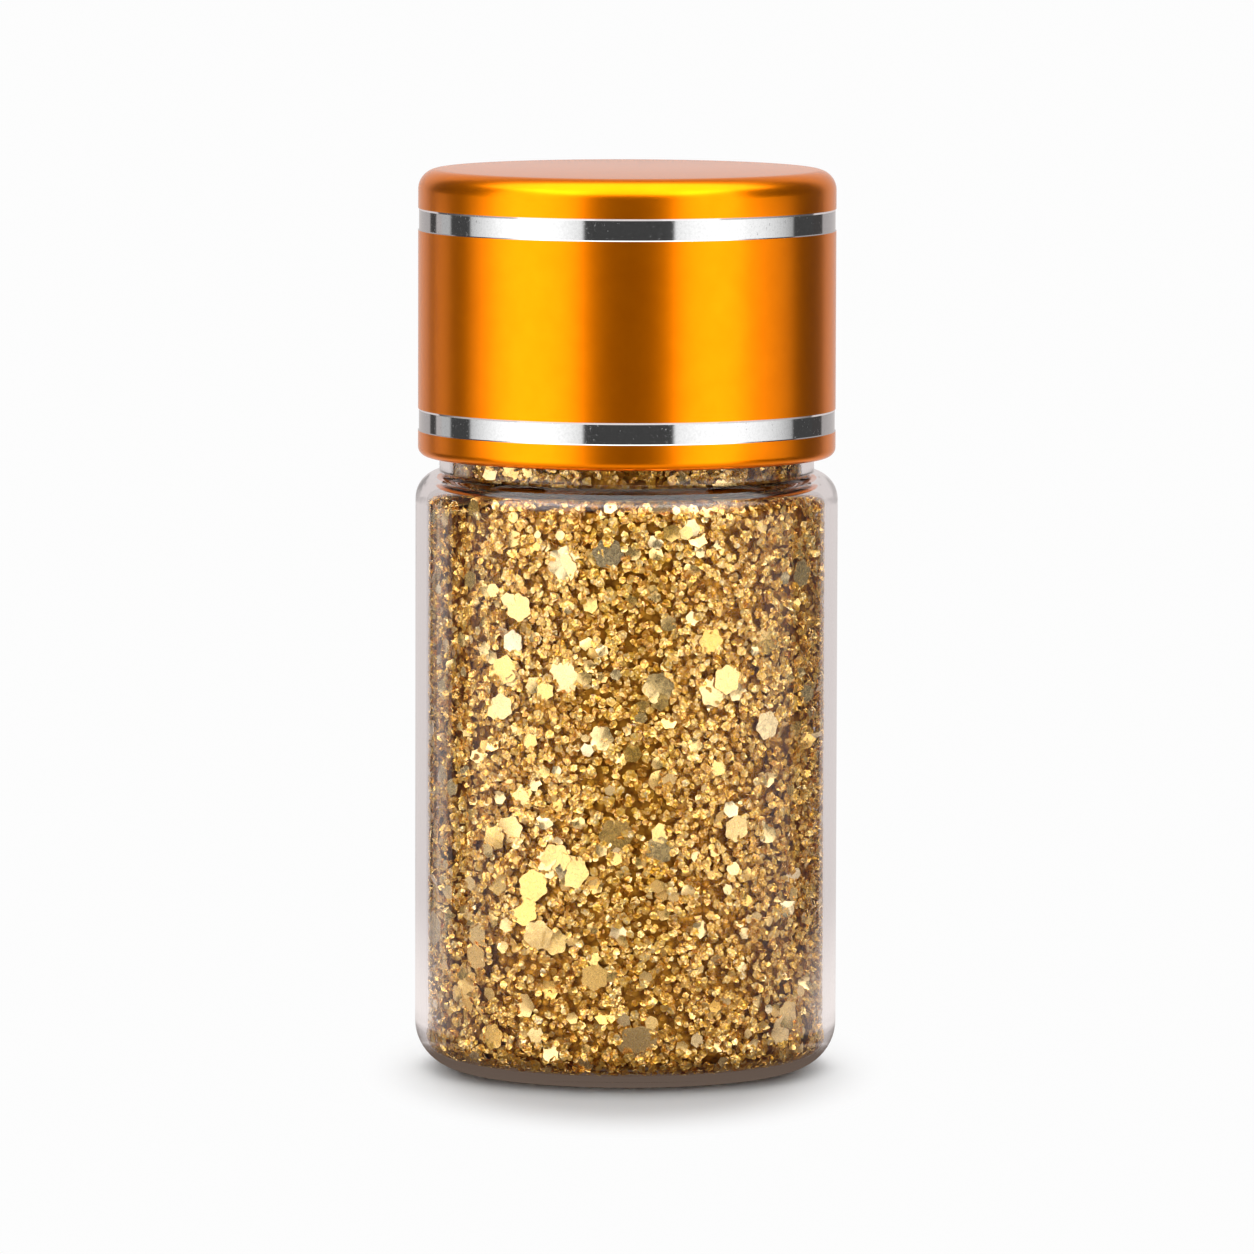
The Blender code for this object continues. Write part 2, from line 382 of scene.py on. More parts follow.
def noise(tree, vector, scale, detail):
    """Noise with about `scale` cells to the metre."""
    made = node(tree, "ShaderNodeTexNoise", Scale=scale, Detail=detail)
    tree.links.new(vector, made.inputs["Vector"])
    return made.outputs["Fac"]


def cell_distance(tree, scale):
    """How far each place is from the middle of its cell, with `scale` cells to the metre."""
    made = node(tree, "ShaderNodeTexVoronoi", Scale=scale)
    tree.links.new(coordinates(tree), made.inputs["Vector"])
    return made.outputs["Distance"]


def stretched(tree, vector, scale):
    """Coordinates scaled along each axis."""
    made = node(tree, "ShaderNodeMapping", Scale=scale)
    tree.links.new(vector, made.inputs["Vector"])
    return made.outputs["Vector"]


def remap(tree, value, span, to):
    """Stretches a span of values, (low, high), to another."""
    made = tree.nodes.new("ShaderNodeMapRange")
    made.inputs["From Min"].default_value = span[0]
    made.inputs["From Max"].default_value = span[1]
    made.inputs["To Min"].default_value = to[0]
    made.inputs["To Max"].default_value = to[1]
    tree.links.new(value, made.inputs["Value"])
    return made.outputs["Result"]


def ramp(tree, value, stops):
    """A colour that runs through stops of (place, colour)."""
    made = tree.nodes.new("ShaderNodeValToRGB")
    elements = made.color_ramp.elements
    while len(elements) < len(stops):
        elements.new(0.5)
    for element, (place, colour) in zip(elements, stops, strict=True):
        element.position = place
        element.color = (*colour, 1.0)
    tree.links.new(value, made.inputs["Fac"])
    return made.outputs["Color"]


def bump(tree, shader, height, strength, distance):
    made = node(tree, "ShaderNodeBump", Strength=strength, Distance=distance)
    tree.links.new(height, made.inputs["Height"])
    tree.links.new(made.outputs["Normal"], shader.inputs["Normal"])


def maths(tree, operation, first, second=None):
    made = node(tree, "ShaderNodeMath", operation=operation)
    for socket, value in zip(made.inputs, (first, second), strict=False):
        if isinstance(value, (int, float)):
            socket.default_value = value
        elif value is not None:
            tree.links.new(value, socket)
    return made.outputs["Value"]


def edge_up(tree, value, at, softness):
    """A soft step from 0 to 1 where the value passes `at`."""
    made = node(tree, "ShaderNodeMapRange", interpolation_type="SMOOTHSTEP")
    made.inputs["From Min"].default_value = at - softness
    made.inputs["From Max"].default_value = at + softness
    tree.links.new(value, made.inputs["Value"])
    return made.outputs["Result"]


def between(tree, value, low, high, softness):
    """1 from low to high and 0 outside, with soft edges."""
    rising = edge_up(tree, value, low, softness)
    falling = maths(tree, "SUBTRACT", 1.0, edge_up(tree, value, high, softness))
    return maths(tree, "MULTIPLY", rising, falling)


# ---------------------------------------------------------------- materials

# How strongly the glass mirrors the room face-on: the plain wall hardly, and the shoulder fully.
WALL_SHINE = 0.06
SHOULDER_SHINE = 1.0
SHOULDER_SHINE_HEIGHTS = (31.4 * MM, 32.75 * MM)
SHOULDER_SHINE_EDGE = 0.25 * MM


def glass_material():
    """Clear glass with faint waves and smudges."""
    made, tree, shader = material("clear_glass")
    shader.inputs["Base Color"].default_value = (0.95, 0.925, 0.92, 1.0)
    shader.inputs["Transmission Weight"].default_value = 1.0
    shader.inputs["IOR"].default_value = 1.5
    at = coordinates(tree)
    height = tree.nodes.new("ShaderNodeSeparateXYZ")
    tree.links.new(at, height.inputs["Vector"])
    shoulder = between(tree, height.outputs["Z"], *SHOULDER_SHINE_HEIGHTS, SHOULDER_SHINE_EDGE)
    shine = remap(tree, shoulder, (0.0, 1.0), (WALL_SHINE, SHOULDER_SHINE))
    tree.links.new(shine, shader.inputs["Specular Tint"])
    smudges = noise(tree, at, scale=160.0, detail=3.0)
    tree.links.new(remap(tree, smudges, (0.4, 0.75), (0.0, 0.02)), shader.inputs["Roughness"])
    waves = noise(tree, stretched(tree, at, (1.0, 1.0, 0.35)), scale=190.0, detail=1.0)
    bump(tree, shader, waves, strength=0.25, distance=0.02 * MM)
    return made


def amber_material():
    """Satin aluminium under a clear dyed film, which turns pale where it is seen edge-on."""
    made, tree, shader = material("amber_anodised_aluminium")
    shader.inputs["Metallic"].default_value = 1.0
    shader.inputs["Specular Tint"].default_value = (1.0, 0.9, 0.72, 1.0)
    at = coordinates(tree)
    mottle = noise(tree, at, scale=900.0, detail=3.0)
    colour = ramp(tree, mottle, [(0.3, (0.92, 0.215, 0.0006)), (0.7, (0.96, 0.232, 0.001))])
    tree.links.new(colour, shader.inputs["Base Color"])
    grain = noise(tree, at, scale=9000.0, detail=2.0)
    tree.links.new(remap(tree, grain, (0.3, 0.7), (0.285, 0.30)), shader.inputs["Roughness"])
    bump(tree, shader, grain, strength=0.12, distance=0.006 * MM)
    shader.inputs["Coat Weight"].default_value = 1.0
    shader.inputs["Coat IOR"].default_value = 1.05
    shader.inputs["Coat Roughness"].default_value = 0.12
    return made


def bright_cut_material(name, tone):
    """Bare aluminium with faint turning lines round it, of a grey tone."""
    made, tree, shader = material(name)
    shader.inputs["Metallic"].default_value = 1.0
    at = coordinates(tree)
    lines = noise(tree, stretched(tree, at, (0.02, 0.02, 1.0)), scale=16000.0, detail=2.0)
    specks = noise(tree, at, scale=7000.0, detail=1.0)
    darker, lighter = ((tone + change,) * 3 for change in BAND_MOTTLE)
    colour = ramp(tree, specks, [(0.3, darker), (0.7, lighter)])
    tree.links.new(colour, shader.inputs["Base Color"])
    tree.links.new(remap(tree, specks, (0.62, 0.78), (0.07, 0.3)), shader.inputs["Roughness"])
    bump(tree, shader, lines, strength=0.15, distance=0.002 * MM)
    return made


def gold_film(name):
    """Metallised film under a clear layer, and the tone of each flake, from 0 to 1."""
    made, tree, shader = material(name)
    shader.inputs["Metallic"].default_value = 0.8
    shader.inputs["Coat Weight"].default_value = 1.0
    shader.inputs["Coat IOR"].default_value = 1.55
    shader.inputs["Coat Roughness"].default_value = 0.1
    tone = node(tree, "ShaderNodeAttribute", attribute_name="tone").outputs["Fac"]
    return made, tree, shader, tone


def flake_material():
    """Smooth film, whose tone picks its colour."""
    made, tree, shader, tone = gold_film("gold_flakes")
    colour = ramp(
        tree,
        tone,
        [
            (0.0, (0.72, 0.37, 0.03)),
            (0.15, (0.87, 0.52, 0.09)),
            (0.5, (0.96, 0.66, 0.21)),
            (0.8, (0.97, 0.73, 0.32)),
            (1.0, (0.98, 0.82, 0.50)),
        ],
    )
    tree.links.new(colour, shader.inputs["Base Color"])
    crinkle = noise(tree, coordinates(tree), scale=5200.0, detail=2.0)
    tree.links.new(remap(tree, crinkle, (0.3, 0.7), (0.16, 0.34)), shader.inputs["Roughness"])
    bump(tree, shader, crinkle, strength=0.5, distance=0.012 * MM)
    return made


def crumb_material():
    """Crumpled film, with painted shade in the crease round each tiny dome."""
    made, tree, shader, tone = gold_film("gold_crumbs")
    crease = cell_distance(tree, scale=5600.0)
    # The tone is darker towards each crease: painted shade.
    shade = maths(tree, "SUBTRACT", tone, remap(tree, crease, (0.35, 0.75), (0.0, 0.45)))
    colour = ramp(
        tree,
        shade,
        [
            (0.0, (0.70, 0.33, 0.015)),
            (0.15, (0.91, 0.50, 0.05)),
            (0.5, (0.98, 0.63, 0.13)),
            (0.8, (0.98, 0.73, 0.28)),
            (1.0, (0.99, 0.83, 0.50)),
        ],
    )
    tree.links.new(colour, shader.inputs["Base Color"])
    tree.links.new(remap(tree, crease, (0.0, 0.7), (0.2, 0.45)), shader.inputs["Roughness"])
    bump(tree, shader, maths(tree, "MULTIPLY", crease, -1.0), strength=0.8, distance=0.06 * MM)
    return made


def core_material():
    """What shows in the gaps between flakes: more gold in deep shade."""
    made, tree, shader = material("shaded_glitter")
    shader.inputs["Metallic"].default_value = 0.8
    grain = cell_distance(tree, scale=2600.0)
    shade = remap(tree, grain, (0.0, 0.8), (0.0, 1.0))
    colour = ramp(tree, shade, [(0.0, (0.75, 0.36, 0.03)), (1.0, (0.30, 0.12, 0.008))])
    tree.links.new(colour, shader.inputs["Base Color"])
    tree.links.new(remap(tree, shade, (0.0, 1.0), (0.35, 0.6)), shader.inputs["Roughness"])
    bump(tree, shader, grain, strength=0.8, distance=0.08 * MM)
    return made


def plastic_material():
    """White moulded plastic, a little cloudy."""
    made, tree, shader = material("white_polypropylene")
    at = coordinates(tree)
    cloud = noise(tree, at, scale=300.0, detail=2.0)
    colour = ramp(tree, cloud, [(0.3, (0.80, 0.80, 0.78)), (0.7, (0.85, 0.85, 0.83))])
    tree.links.new(colour, shader.inputs["Base Color"])
    skin = noise(tree, at, scale=5000.0, detail=2.0)
    tree.links.new(remap(tree, skin, (0.3, 0.7), (0.38, 0.52)), shader.inputs["Roughness"])
    bump(tree, shader, skin, strength=0.2, distance=0.01 * MM)
    return made


def foam_material():
    """Matt white foam with fine cells, with painted shade in their hollows."""
    made, tree, shader = material("white_foam")
    shade = cell_distance(tree, scale=7000.0)
    colour = ramp(tree, shade, [(0.0, (0.72, 0.72, 0.70)), (0.5, (0.88, 0.88, 0.86))])
    tree.links.new(colour, shader.inputs["Base Color"])
    tree.links.new(remap(tree, shade, (0.0, 0.8), (0.85, 0.6)), shader.inputs["Roughness"])
    bump(tree, shader, shade, strength=0.5, distance=0.03 * MM)
    return made


# ---------------------------------------------------------------- bottle

def glass_piece():
    neck_bore = NECK_ROOT_RADIUS - GLASS_WALL
    rim_low = RIM_HEIGHT - RIM_ROUNDING
    ring_in = NECK_RING_RADIUS - NECK_RING_ROUNDING
    ring_low = NECK_RING_TOP - NECK_RING_ROUNDING
    shoulder_in = BODY_RADIUS - SHOULDER_RADIUS
    foot = math.degrees(math.acos((NECK_RING_RADIUS - shoulder_in) / SHOULDER_RADIUS))
    shoulder = arc(shoulder_in, SHOULDER_TOP - SHOULDER_RADIUS, SHOULDER_RADIUS, foot, 0)
    neck_foot = (NECK_ROOT_RADIUS, NECK_RING_TOP + NECK_FOOT_RISE)
    outline = [
        *bore_outline(),
        *arc(neck_bore + RIM_ROUNDING, rim_low, RIM_ROUNDING, 180, 90, steps=4),
        *arc(NECK_ROOT_RADIUS - RIM_ROUNDING, rim_low, RIM_ROUNDING, 90, 0, steps=4)[:-1],
        *straight((NECK_ROOT_RADIUS, rim_low), neck_foot, THREAD_ROW),
        *arc(ring_in, ring_low, NECK_RING_ROUNDING, 90, 0, steps=6),
        *held_flat((NECK_RING_RADIUS, ring_low), (NECK_RING_RADIUS, shoulder[0][1])),
        *shoulder,
        *held_flat(shoulder[-1], (BODY_RADIUS, HEEL_RADIUS)),
        *arc(BODY_RADIUS - HEEL_RADIUS, HEEL_RADIUS, HEEL_RADIUS, 0, -90, steps=14),
        (PUSH_UP_RADIUS + 2 * PUSH_UP_DEPTH, 0.0),
        (PUSH_UP_RADIUS, PUSH_UP_DEPTH * PUSH_UP_RIM_SHARE),
        (PUSH_UP_RADIUS - PUSH_UP_DEPTH, PUSH_UP_DEPTH),
        (0.0, PUSH_UP_DEPTH),
    ]

    def with_thread(angle, radius, height):
        on_neck = np.isclose(radius, NECK_ROOT_RADIUS) & (height > neck_foot[1])
        share = thread_share(angle, height, GLASS_THREAD_START)
        return radius + np.where(on_neck, GLASS_THREAD_HEIGHT * share, 0.0)

    piece = turned("bottle_glass", outline, "bottle", with_thread)
    piece.data.materials.append(glass_material())
    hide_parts("glass_bottle")


# ---------------------------------------------------------------- glitter

def inset(outline, by):
    """An outline moved inwards, away from the glass, by a distance."""
    line = np.array(outline)
    along = np.gradient(line, axis=0)
    along /= np.linalg.norm(along, axis=1)[:, None]
    inwards = np.stack([-along[:, 1], along[:, 0]], axis=1)
    moved = line + by * inwards
    moved[0, 0] = 0.0
    return moved


def core_piece():
    side = inset(bore_outline(), CORE_INSET)
    outline = [tuple(p) for p in side]
    outline[-1] = (outline[-1][0], FILL_TOP - CORE_INSET)
    outline.append((0.0, FILL_TOP - CORE_INSET))
    piece = turned("glitter_core", outline[::-1], "bottle", sharp_deg=60.0)
    piece.data.materials.append(core_material())
    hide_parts("glitter_fill")


def fill_surface():
    """The outline that flakes lie against: the glass, then over the top of the fill."""
    outline = bore_outline()
    neck_radius = outline[-1][0]
    outline.append((neck_radius, FILL_TOP - FILL_CORNER))
    outline.append((neck_radius - FILL_CORNER, FILL_TOP))
    outline.append((0.0, FILL_TOP))
    return np.array(outline)


def places_on(surface, count, lopsided, random):
    """Points and outward normals spread over the turned surface. `lopsided` is how much commoner
    they are towards FULLER_SIDE."""
    ends = surface[1:] - surface[:-1]
    lengths = np.linalg.norm(ends, axis=1)
    areas = lengths * (surface[1:, 0] + surface[:-1, 0]) / 2
    run = random.choice(len(areas), size=count, p=areas / areas.sum())
    flat = surface[run] + ends[run] * random.random(count)[:, None]
    slope = ends[run] / lengths[run][:, None]
    angle = random.random(count) * math.tau
    moves = random.random(count) < lopsided * (1 - np.cos(angle - FULLER_SIDE)) / 2
    angle = np.where(moves, 2 * FULLER_SIDE + math.pi - angle, angle)
    cos, sin = np.cos(angle), np.sin(angle)
    points = np.stack([flat[:, 0] * cos, flat[:, 0] * sin, flat[:, 1]], axis=1)
    normals = np.stack([slope[:, 1] * cos, slope[:, 1] * sin, -slope[:, 0]], axis=1)
    return points, normals


def room_inside(surface, points):
    """How far each of (flakes, corners, 3) points is inside the turned surface."""
    flat = np.stack([np.hypot(points[..., 0], points[..., 1]), points[..., 2]], axis=-1)
    nearest = np.full(flat.shape[:-1], np.inf)
    signed = np.zeros(flat.shape[:-1])
    for start, end in zip(surface[:-1], surface[1:], strict=True):
        run = end - start
        from_start = flat - start
        share = np.clip(from_start @ run / (run @ run), 0, 1)
        away = np.linalg.norm(from_start - share[..., None] * run, axis=-1)
        side = np.sign(run[0] * from_start[..., 1] - run[1] * from_start[..., 0])
        closer = away < nearest
        signed = np.where(closer, away * side, signed)
        nearest = np.where(closer, away, nearest)
    return signed


def frames_about(normals, tilt, random):
    """For each normal, three axes of a flake tilted by `tilt` from it and spun at random."""
    count = len(normals)
    helper = random.normal(size=(count, 3))
    across = np.cross(normals, helper)
    across /= np.linalg.norm(across, axis=1)[:, None]
    other = np.cross(normals, across)
    up = normals * np.cos(tilt)[:, None] + other * np.sin(tilt)[:, None]
    side = np.cross(up, across)
    spin = random.random(count) * math.tau
    cos, sin = np.cos(spin)[:, None], np.sin(spin)[:, None]
    return np.stack([across * cos + side * sin, side * cos - across * sin, up], axis=1)


def flake_points(kind, radii, random):
    """The corners of many closed flakes: an upper and a lower ring, then their two middles."""
    count = len(radii)
    around = np.arange(kind.corners) * math.tau / kind.corners
    uneven = kind.uneven * random.normal(size=(count, kind.corners))
    ring = radii[:, None] * (1 + kind.scallop * np.cos(SCALLOPS * around) + uneven)
    x, y = ring * np.cos(around), ring * np.sin(around)
    bend = kind.curl * random.normal(size=(count, 2)) / radii[:, None]
    rim = np.stack([x, y, bend[:, :1] * x * x + bend[:, 1:] * y * y], axis=2)
    rim[:, :, 2] -= rim[:, :, 2].mean(axis=1, keepdims=True)
    middle = np.zeros((count, 1, 3))
    middle[:, 0, 2] = -bend.mean(axis=1) * radii * radii / 2
    half = np.array([0, 0, FLAKE_THICKNESS / 2])
    return np.concatenate([rim + half, rim - half, middle + half, middle - half], axis=1)


def flake_faces(corners):
    """Triangles of one flake, outward facing."""
    upper, lower = 2 * corners, 2 * corners + 1
    faces = []
    for k in range(corners):
        after = (k + 1) % corners
        faces.append((upper, k, after))
        faces.append((lower, corners + after, corners + k))
        faces.append((k, corners + k, corners + after))
        faces.append((k, corners + after, after))
    return np.array(faces)


def flake_mesh(name, points, corners, tones):
    """One mesh of many flakes, from their (flakes, corners, 3) points."""
    count, size = points.shape[:2]
    firsts = np.arange(count) * size
    faces = (flake_faces(corners)[None] + firsts[:, None, None]).reshape(-1, 3)
    mesh = bpy.data.meshes.new(name)
    mesh.vertices.add(count * size)
    mesh.vertices.foreach_set("co", points.astype(np.float32).ravel())
    mesh.loops.add(faces.size)
    mesh.loops.foreach_set("vertex_index", faces.astype(np.int32).ravel())
    mesh.polygons.add(len(faces))
    mesh.polygons.foreach_set("loop_start", np.arange(0, faces.size, 3, dtype=np.int32))
    mesh.update(calc_edges=True)
    tone = mesh.attributes.new("tone", "FLOAT", "POINT")
    tone.data.foreach_set("value", np.repeat(tones, size).astype(np.float32))
    mesh.validate()
    mesh.set_sharp_from_angle(angle=math.radians(FLAKE_SHARP_DEG))
    return mesh


def clear_of(laid, points, random):
    """Which points aren't in front of a bigger flake that was laid before. A few are let through."""
    keep = np.ones(len(points), dtype=bool)
    for centres, radii in laid:
        tree = KDTree(len(centres))
        for k, centre in enumerate(centres):
            tree.insert(centre, k)
        tree.balance()
        for k, point in enumerate(points):
            _, nearest, away = tree.find(point)
            keep[k] &= away > COVERED_SHARE * radii[nearest]
    return keep | (random.random(len(points)) < LET_THROUGH)


def gap_share(points):
    """From 0 on the lumps of glitter to 1 in the gaps between them."""
    waves = np.array([smooth_noise(Vector(p) / LUMP_SIZE) for p in points])
    return eased(np.clip((waves - GAP_FROM) / GAP_EDGE, 0, 1))


def laid_under_glass(surface, shapes, points, normals, depths):
    """The corners of all flakes, each flake moved in until the whole of it is under the glass."""
    inwards = depths
    for _ in range(SETTLING_ROUNDS):
        placed = shapes + (points - normals * inwards[:, None])[:, None]
        short = CLEAR_OF_GLASS + depths - room_inside(surface, placed).min(axis=1)
        inwards = inwards + short.clip(0, None)
    return shapes + (points - normals * inwards[:, None])[:, None]


def scatter(kind, part, laid, finish):
    """One piece of flakes laid against the glass. Gives back their middles and radii."""
    random = np.random.default_rng(SEED + kind.corners * SEEDS_FOR_A_CORNER + part)
    surface = fill_surface()
    points, normals = places_on(surface, kind.count, kind.lopsided, random)
    keep = clear_of(laid, points, random)
    points, normals = points[keep], normals[keep]
    count = len(points)
    sizes = (1 + kind.spread * random.normal(size=count)).clip(SMALLEST, LARGEST)
    radii = kind.across / 2 * sizes
    tilt = np.abs(math.radians(kind.lean_deg) * random.normal(size=count)).clip(0, MOST_LEAN)
    depths = random.exponential(kind.depth, count) + kind.sunk * gap_share(points)
    depths = depths.clip(0, CORE_INSET)
    axes = frames_about(normals, tilt, random)
    shapes = np.einsum("nkc,ncd->nkd", flake_points(kind, radii, random), axes)
    placed = laid_under_glass(surface, shapes, points, normals, depths)
    # Deeper flakes, most of all in the gaps between lumps, get darker tones: painted shade.
    lit = 1 - depths / CORE_INSET * SHADE_PAINTED_WITH_DEPTH
    tones = (random.beta(*TONE_SHAPE, count) * lit).clip(0, 1)
    name = f"flakes_{kind.name}_{part + 1}"
    piece = new_piece(name, flake_mesh(name, placed, kind.corners, tones), "bottle")
    piece.data.materials.append(finish)
    return points, radii


def glitter_pieces():
    smooth, crumpled = flake_material(), crumb_material()
    laid = []
    for kind in (LARGE, MEDIUM, FINE):
        finish = crumpled if kind.sunk else smooth
        same = [scatter(kind, part, laid, finish) for part in range(kind.pieces)]
        middles = np.concatenate([points for points, _ in same])
        radii = np.concatenate([radii for _, radii in same])
        laid.append((middles, radii))


# ---------------------------------------------------------------- cap

def shell_outline():
    corner = SHELL_TOP_ROUNDING
    top, bottom = SHELL_HIGH[2], SHELL_LOW[2]
    bore = SHELL_RADIUS - SHELL_WALL
    inner_corner = corner - SHELL_WALL
    outline = [(0.0, top), *arc(SHELL_RADIUS - corner, top - corner, corner, 90, 0, steps=16)]
    for low, high in (UPPER_BAND, LOWER_BAND):
        floor = SHELL_RADIUS - BAND_DEPTH
        outline += [
            (SHELL_RADIUS, high),
            (floor, high - BAND_SLOPE),
            (floor, low + BAND_DEPTH),
            (SHELL_RADIUS, low),
        ]
    hem_top = bottom + HEM_HEIGHT
    foot, head = HEM_LOW_ROUNDING, HEM_HIGH_ROUNDING
    outline += [
        *arc(SHELL_RADIUS - HEM_ROUNDING, bottom + HEM_ROUNDING, HEM_ROUNDING, 0, -90, steps=8),
        *arc(HEM_INNER_RADIUS + foot, bottom + foot, foot, -90, -180, steps=4),
        *arc(HEM_INNER_RADIUS + head, hem_top - head, head, 180, 90, steps=4),
        (bore - HEM_FILLET_WIDTH, hem_top + HEM_FILLET_WIDTH),
        (bore, hem_top + HEM_FILLET_HEIGHT),
        *arc(bore - inner_corner, top - corner, inner_corner, 0, 90, steps=8),
        (0.0, top - SHELL_WALL),
    ]
    return outline


def in_band(face):
    """Whether a face of the shell is part of a bright-cut band."""
    outside = math.hypot(face.center.x, face.center.y) > SHELL_RADIUS - BAND_DEPTH - SKIN_NEARLY
    bands = (UPPER_BAND, LOWER_BAND)
    height = face.center.z
    return outside and any(low - BAND_NEARLY < height < high + BAND_NEARLY for low, high in bands)


def shell_piece():
    piece = turned("cap_shell_skin", shell_outline(), "cap", sharp_deg=25.0)
    piece.data.materials.append(amber_material())
    piece.data.materials.append(bright_cut_material("bright_cut_aluminium", BAND_TONE))
    # The faces of a band that look down get a paler copy of the band's finish: a painted highlight.
    piece.data.materials.append(bright_cut_material("bright_cut_painted_highlight", BAND_PAINTED_HIGHLIGHT_TONE))
    band, painted_highlight = 1, 2
    for face in piece.data.polygons:
        if in_band(face):
            face.material_index = painted_highlight if face.normal.z < FACES_DOWN else band
    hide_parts("cap_shell")


def inner_cap_piece():
    wall = SHELL_RADIUS - SHELL_WALL - INNER_CAP_GAP - RIB_DEPTH
    top, bottom = INNER_HIGH[2], INNER_LOW[2]
    chamfer = INNER_CAP_CHAMFER
    roof_under = top - INNER_CAP_ROOF
    outline = [
        (0.0, top),
        (wall - chamfer, top),
        (wall, top - chamfer),
        *straight((wall, top - INNER_CAP_END), (wall, bottom + INNER_CAP_END), INNER_CAP_ROW),
        (wall, bottom),
        (INNER_CAP_BORE + chamfer, bottom),
        *straight((INNER_CAP_BORE, bottom + chamfer), (INNER_CAP_BORE, roof_under), THREAD_ROW),
        (0.0, roof_under),
    ]

    def with_ribs_and_thread(angle, radius, height):
        wave = np.cos(RIB_COUNT * angle)
        on_wall = np.isclose(radius, wall) & (height < top - RIB_MARGIN)
        on_wall &= height > bottom + RIB_MARGIN
        ribbed = radius + np.where(on_wall & (wave > RIB_LEVEL), RIB_DEPTH, 0.0)
        share = thread_share(angle, height, CAP_THREAD_START)
        in_bore = np.isclose(radius, INNER_CAP_BORE)
        return ribbed - np.where(in_bore, CAP_THREAD_HEIGHT * share, 0.0)

    piece = turned("inner_cap_moulding", outline, "cap", with_ribs_and_thread)
    piece.data.materials.append(plastic_material())
    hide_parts("inner_cap")


def liner_piece():
    radius = LINER_HIGH[0]
    top, under = LINER_HIGH[2], LINER_LOW[2]
    edge = LINER_ROUNDING
    mark_radius = NECK_ROOT_RADIUS - GLASS_WALL / 2
    outline = [
        (0.0, top),
        *arc(radius - edge, top - edge, edge, 90, 0, steps=4),
        *arc(radius - edge, under + edge, edge, 0, -90, steps=4),
        (mark_radius + GLASS_WALL / 2, under),
        (mark_radius, under + LINER_MARK_DEPTH),
        (mark_radius - GLASS_WALL / 2, under),
        (0.0, under),
    ]
    piece = turned("seal_liner_disc", outline, "liner", sharp_deg=60.0)
    piece.data.materials.append(foam_material())
    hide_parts("seal_liner")


# ---------------------------------------------------------------- stage, light and camera

# Upright light panels of the studio: lowest and highest azimuth, lowest and highest elevation,
# then the azimuth where each is brightest, how far its light reaches either side of that, and its
# strength. Azimuth 0 is towards -Y, where the camera of the main view stands, and grows towards +X.
PANELS = (
    (-97.0, -80.0, -9.5, -1.5, -56.0, 52.0, 2.4),
    (-80.0, -24.0, -100.0, 46.0, -56.0, 52.0, 2.4),
    (26.0, 68.0, -100.0, 46.0, 55.0, 58.0, 2.25),
    (68.0, 105.0, -9.5, -1.5, 55.0, 58.0, 2.25),
    (-132.0, -115.0, -9.5, -1.5, -123.0, 90.0, 0.8),
    (-181.0, -141.0, -100.0, 46.0, -181.0, 300.0, 0.6),
    (138.0, 181.0, -100.0, 46.0, 181.0, 300.0, 0.6),
)
REAR_FROM = 125.0
REAR_TINT = (1.0, 0.93, 0.915, 1.0)
PANEL_EDGE = 1.2
PANEL_TOP_EDGE = 2.0
# The overhead panel lies flat: its edges are given at a height of 1.
OVERHEAD_HALF_WIDTH = 1.3
OVERHEAD_FRONT = -1.88
OVERHEAD_BACK = 0.27
OVERHEAD_EDGE = 0.12
OVERHEAD_LOWEST = 0.01
OVERHEAD_HORIZON = 0.02
OVERHEAD_STRENGTH = 3.2
ROOM = 0.11
# The room is lighter above this height.
UPPER_ROOM = 0.45
UPPER_FROM = 50.0
# Matt surfaces are lit by a dome, brightest in one part above and behind.
DOME_EVEN = 0.45
DOME_PEAK = 4.4
DOME_FOCUS = 8.0
DOME_ELEVATION = math.radians(62.0)


def product(tree, *factors):
    total = factors[0]
    for factor in factors[1:]:
        total = maths(tree, "MULTIPLY", total, factor)
    return total


def upright_panel(tree, azimuth, elevation, left, right, low, high, brightest, reach, strength):
    wide = between(tree, azimuth, left, right, PANEL_EDGE)
    tall = between(tree, elevation, low, high, PANEL_TOP_EDGE)
    off = maths(tree, "DIVIDE", maths(tree, "SUBTRACT", azimuth, brightest), reach)
    fade = maths(tree, "SUBTRACT", 1.0, maths(tree, "MULTIPLY", off, off))
    return product(tree, wide, tall, maths(tree, "MAXIMUM", fade, 0.0), strength)


def overhead_panel(tree, x, y, z):
    above = maths(tree, "MAXIMUM", z, OVERHEAD_LOWEST)
    side = maths(tree, "DIVIDE", x, above)
    along = maths(tree, "DIVIDE", y, above)
    wide = between(tree, side, -OVERHEAD_HALF_WIDTH, OVERHEAD_HALF_WIDTH, OVERHEAD_EDGE)
    deep = between(tree, along, OVERHEAD_FRONT, OVERHEAD_BACK, OVERHEAD_EDGE)
    up = edge_up(tree, z, OVERHEAD_HORIZON, OVERHEAD_HORIZON)
    return product(tree, wide, deep, up, OVERHEAD_STRENGTH)


def dome_light(tree, y, z):
    """The strength of the light that falls on matt surfaces."""
    up = maths(tree, "MULTIPLY", z, math.sin(DOME_ELEVATION))
    back = maths(tree, "MULTIPLY", y, math.cos(DOME_ELEVATION))
    aim = maths(tree, "MAXIMUM", maths(tree, "ADD", up, back), 0.0)
    peak = maths(tree, "MULTIPLY", maths(tree, "POWER", aim, DOME_FOCUS), DOME_PEAK)
    return maths(tree, "ADD", peak, DOME_EVEN)


def mixed(tree, share, first, second):
    """The first colour where the share is 0 and the second where it is 1."""
    made = node(tree, "ShaderNodeMix", data_type="RGBA")
    tree.links.new(share, made.inputs["Factor"])
    made.inputs["A"].default_value = first
    made.inputs["B"].default_value = second
    return made.outputs["Result"]


def either(tree, share, first, second):
    """The first shader where the share is 0 and the second where it is 1."""
    made = tree.nodes.new("ShaderNodeMixShader")
    tree.links.new(share, made.inputs["Fac"])
    tree.links.new(first.outputs[0], made.inputs[1])
    tree.links.new(second.outputs[0], made.inputs[2])
    return made


